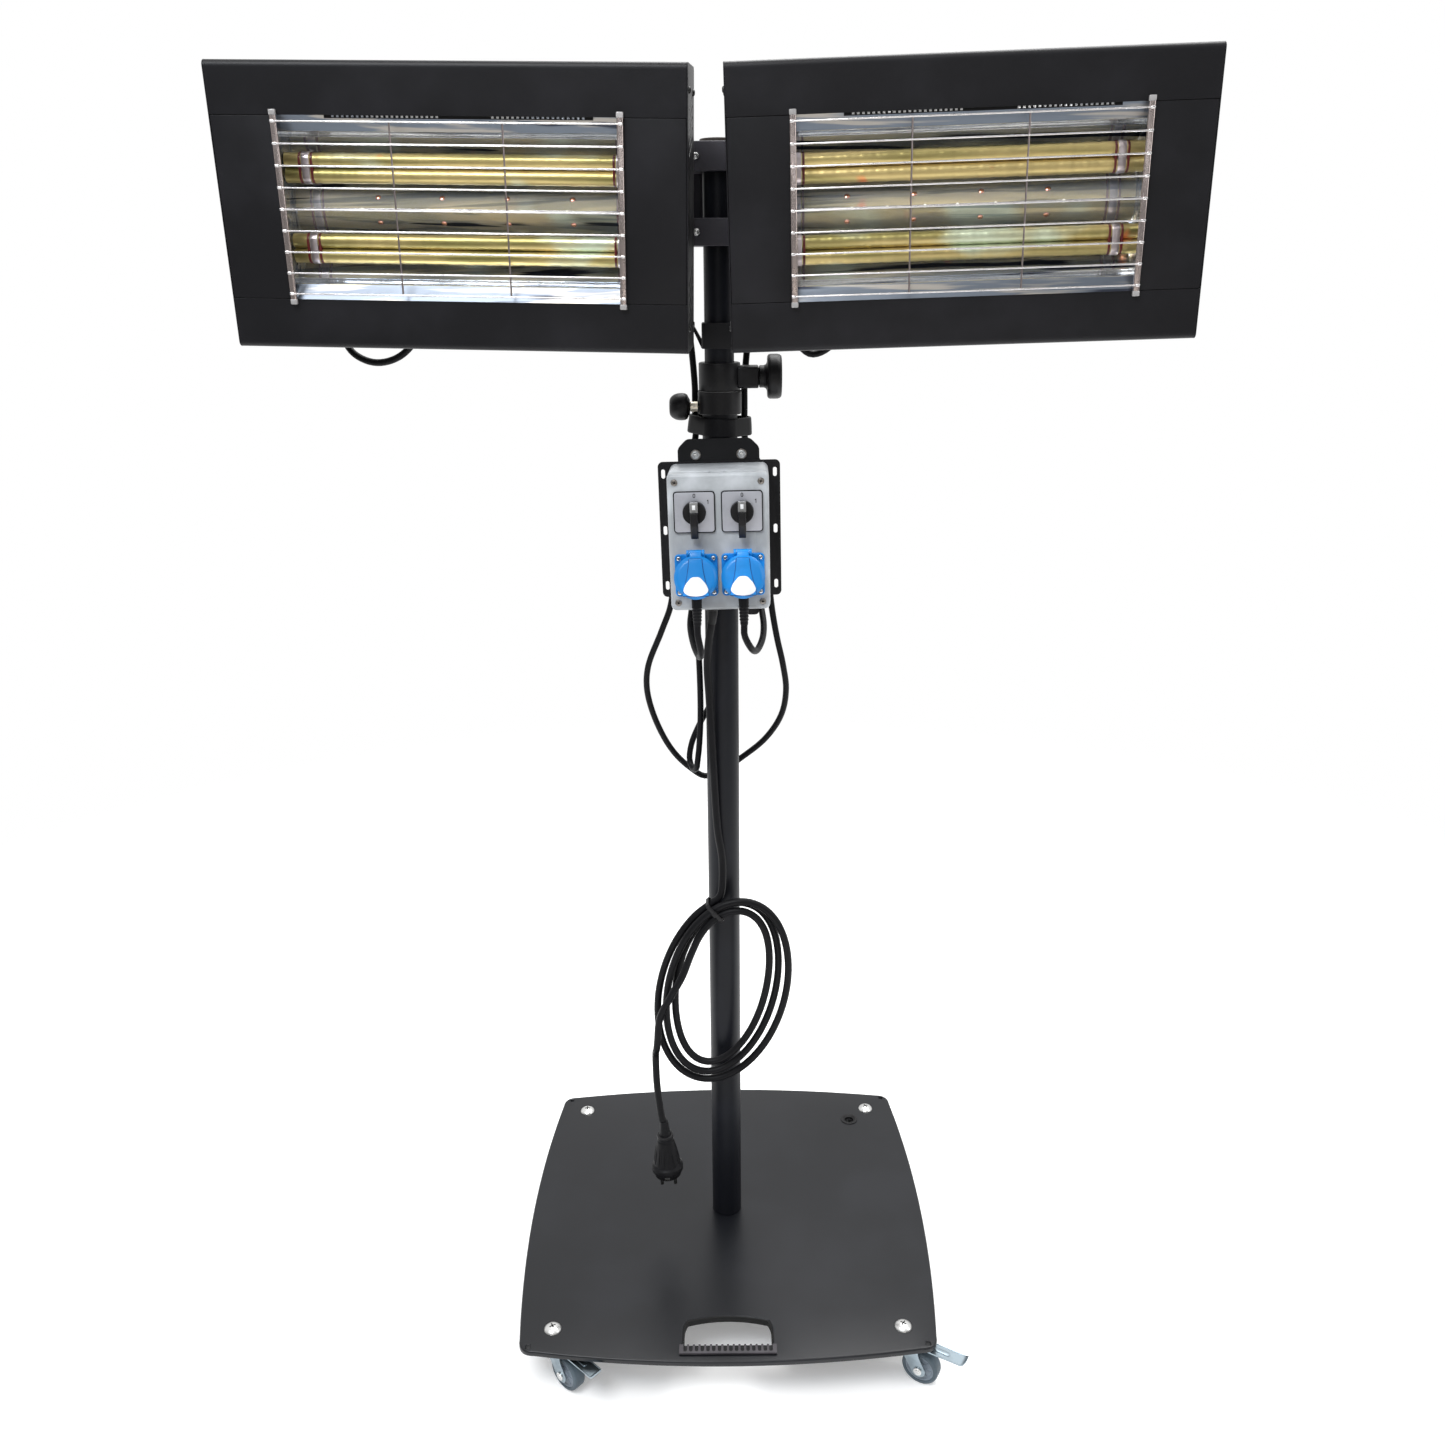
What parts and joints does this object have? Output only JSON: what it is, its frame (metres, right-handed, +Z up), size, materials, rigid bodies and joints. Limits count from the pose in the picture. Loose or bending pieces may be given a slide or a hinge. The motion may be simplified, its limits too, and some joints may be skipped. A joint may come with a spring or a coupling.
{
  "type": "infrared heater",
  "caption": "Mobile infrared drying heater: tilting lamp heads on a telescopic mast, a switched socket box, a coiled supply cord and a flat castor base.",
  "frame": {"origin": "on the floor, on the axis of the mast", "axes": "+Z up along the mast, +X to the right seen from the lamps' side, +Y from the lamps' side to the back"},
  "size_m": [1.0439, 0.5913, 1.6162],
  "materials": {
    "base_paint": "satin dark grey powder coat",
    "black_paint": "black powder coat",
    "black_plastic": "moulded, matt",
    "black_rubber": "matt rubber",
    "zinc_plate": "zinc plated",
    "wheel_grey": "grey tyre",
    "switch_metal": "brushed",
    "reflector_metal": "polished",
    "guard_chrome": "bright",
    "lamp_glass": "gold-coated quartz",
    "box_grey": "grey polycarbonate",
    "socket_blue": "moulded"
  },
  "bodies": {
    "base": {"base_plate": "base_paint", "handle_grip": "black_plastic", "mast_tube": "black_paint", "mast_foot_bolt": "zinc_plate", "clamp_collar": "black_plastic", "pole_bracket": "black_paint", "back_plate": "black_paint", "enclosure_base": "box_grey", "enclosure_lid": "box_grey", "left_switch_plate": "switch_metal", "right_switch_plate": "switch_metal", "left_socket": "socket_blue", "right_socket": "socket_blue", "left_plug": "black_rubber", "right_plug": "black_rubber", "cable_strap": "black_plastic", "cable_tie": "black_plastic", "supply_drop": "black_rubber", "supply_coil": "black_rubber", "supply_tail": "black_rubber", "supply_plug": "black_rubber", "left_lead": "black_rubber", "right_lead": "black_rubber"},
    "mast": {"mast_inner_tube": "black_paint", "cable_guide": "black_plastic", "head_clamp": "black_plastic", "left_mast_cord": "black_rubber", "right_mast_cord": "black_rubber"},
    "clamp_knob": {"clamp_knob": "black_plastic"},
    "lock_pin": {"lock_pin": "black_plastic"},
    "left_swivel": {"left_swivel": "black_paint", "left_swivel_cord": "black_rubber"},
    "left_head": {"left_housing": "black_paint", "left_reflector": "reflector_metal", "left_upper_lamp": "lamp_glass", "left_lower_lamp": "lamp_glass", "left_guard": "guard_chrome", "left_head_cord": "black_rubber"},
    "left_switch_knob": {"left_switch_knob": "black_plastic"},
    "left_socket_cover": {"left_socket_cover": "socket_blue"},
    "right_swivel": {"right_swivel": "black_paint", "right_swivel_cord": "black_rubber"},
    "right_head": {"right_housing": "black_paint", "right_reflector": "reflector_metal", "right_upper_lamp": "lamp_glass", "right_lower_lamp": "lamp_glass", "right_guard": "guard_chrome", "right_head_cord": "black_rubber"},
    "right_switch_knob": {"right_switch_knob": "black_plastic"},
    "right_socket_cover": {"right_socket_cover": "socket_blue"},
    "front_left_fork": {"front_left_fork": "zinc_plate"},
    "front_left_wheel": {"front_left_wheel": "wheel_grey"},
    "front_right_fork": {"front_right_fork": "zinc_plate"},
    "front_right_wheel": {"front_right_wheel": "wheel_grey"},
    "rear_left_fork": {"rear_left_fork": "zinc_plate"},
    "rear_left_wheel": {"rear_left_wheel": "wheel_grey"},
    "rear_right_fork": {"rear_right_fork": "zinc_plate"},
    "rear_right_wheel": {"rear_right_wheel": "wheel_grey"},
    "front_left_pedal": {"front_left_pedal": "zinc_plate"},
    "front_right_pedal": {"front_right_pedal": "zinc_plate"}
  },
  "joints": [
    {"name": "front_left_castor_swivel", "type": "hinge", "parent": "base", "child": "front_left_fork", "pos_m": [-0.233, -0.233, 0.055], "axis": [0, 0, 1], "continuous": true},
    {"name": "front_left_wheel_roll", "type": "hinge", "parent": "front_left_fork", "child": "front_left_wheel", "pos_m": [-0.21252, -0.2521, 0.025], "axis": [0.682, 0.7314, 0], "continuous": true},
    {"name": "front_right_castor_swivel", "type": "hinge", "parent": "base", "child": "front_right_fork", "pos_m": [0.233, -0.233, 0.055], "axis": [0, 0, 1], "continuous": true},
    {"name": "front_right_wheel_roll", "type": "hinge", "parent": "front_right_fork", "child": "front_right_wheel", "pos_m": [0.25725, -0.247, 0.025], "axis": [0.5, 0.866, 0], "continuous": true},
    {"name": "rear_left_castor_swivel", "type": "hinge", "parent": "base", "child": "rear_left_fork", "pos_m": [-0.233, 0.233, 0.055], "axis": [0, 0, 1], "continuous": true},
    {"name": "rear_left_wheel_roll", "type": "hinge", "parent": "rear_left_fork", "child": "rear_left_wheel", "pos_m": [-0.25838, 0.22117, 0.025], "axis": [0.4226, -0.9063, 0], "continuous": true},
    {"name": "rear_right_castor_swivel", "type": "hinge", "parent": "base", "child": "rear_right_fork", "pos_m": [0.233, 0.233, 0.055], "axis": [0, 0, 1], "continuous": true},
    {"name": "rear_right_wheel_roll", "type": "hinge", "parent": "rear_right_fork", "child": "rear_right_wheel", "pos_m": [0.24615, 0.25772, 0.025], "axis": [-0.8829, 0.4695, 0], "continuous": true},
    {"name": "front_left_brake", "type": "hinge", "parent": "front_left_fork", "child": "front_left_pedal", "pos_m": [-0.22276, -0.24255, 0.0578], "axis": [0.682, 0.7314, 0], "range_deg": [0, 18]},
    {"name": "front_right_brake", "type": "hinge", "parent": "front_right_fork", "child": "front_right_pedal", "pos_m": [0.24512, -0.24, 0.0578], "axis": [0.5, 0.866, 0], "range_deg": [0, 18]},
    {"name": "clamp_knob_turn", "type": "hinge", "parent": "base", "child": "clamp_knob", "pos_m": [0.047, 0, 1.283], "axis": [1, 0, 0], "range_deg": [0, 270]},
    {"name": "lock_pin_pull", "type": "slide", "parent": "base", "child": "lock_pin", "axis": [-1, 0, 0], "range_m": [0, 0.008], "stiffness_N_per_m": 400, "springref_m": -0.005},
    {"name": "left_switch_turn", "type": "hinge", "parent": "base", "child": "left_switch_knob", "pos_m": [-0.03014, -0.11236, 1.14052], "axis": [0.0187, 0.9998, 0], "range_deg": [0, 60]},
    {"name": "right_switch_turn", "type": "hinge", "parent": "base", "child": "right_switch_knob", "pos_m": [0.02465, -0.11338, 1.14147], "axis": [0.0187, 0.9998, 0], "range_deg": [0, 60]},
    {"name": "left_cover_lift", "type": "hinge", "parent": "base", "child": "left_socket_cover", "pos_m": [-0.02934, -0.12277, 1.09553], "axis": [-0.9997, 0.0187, -0.0175], "range_deg": [0, 85], "stiffness_Nm_per_rad": 0.02, "springref_deg": -20.05},
    {"name": "right_cover_lift", "type": "hinge", "parent": "base", "child": "right_socket_cover", "pos_m": [0.02504, -0.12379, 1.09648], "axis": [-0.9997, 0.0187, -0.0175], "range_deg": [0, 85], "stiffness_Nm_per_rad": 0.02, "springref_deg": -20.05},
    {"name": "mast_slide", "type": "slide", "parent": "base", "child": "mast", "axis": [0, 0, 1], "range_m": [0, 0.6], "deforming": ["left_mast_cord", "right_mast_cord"]},
    {"name": "left_pan", "type": "hinge", "parent": "mast", "child": "left_swivel", "pos_m": [-0.04, 0, 1.4838], "axis": [0, 0, 1], "range_deg": [-60, 6]},
    {"name": "left_tilt", "type": "hinge", "parent": "left_swivel", "child": "left_head", "pos_m": [-0.04258, -0.03992, 1.4838], "axis": [0.9979, -0.0645, 0], "range_deg": [-30, 10]},
    {"name": "right_pan", "type": "hinge", "parent": "mast", "child": "right_swivel", "pos_m": [0.04, 0, 1.4838], "axis": [0, 0, 1], "range_deg": [-6, 60]},
    {"name": "right_tilt", "type": "hinge", "parent": "right_swivel", "child": "right_head", "pos_m": [0.03902, -0.03999, 1.4838], "axis": [0.9997, -0.0244, 0], "range_deg": [-30, 10]}
  ]
}
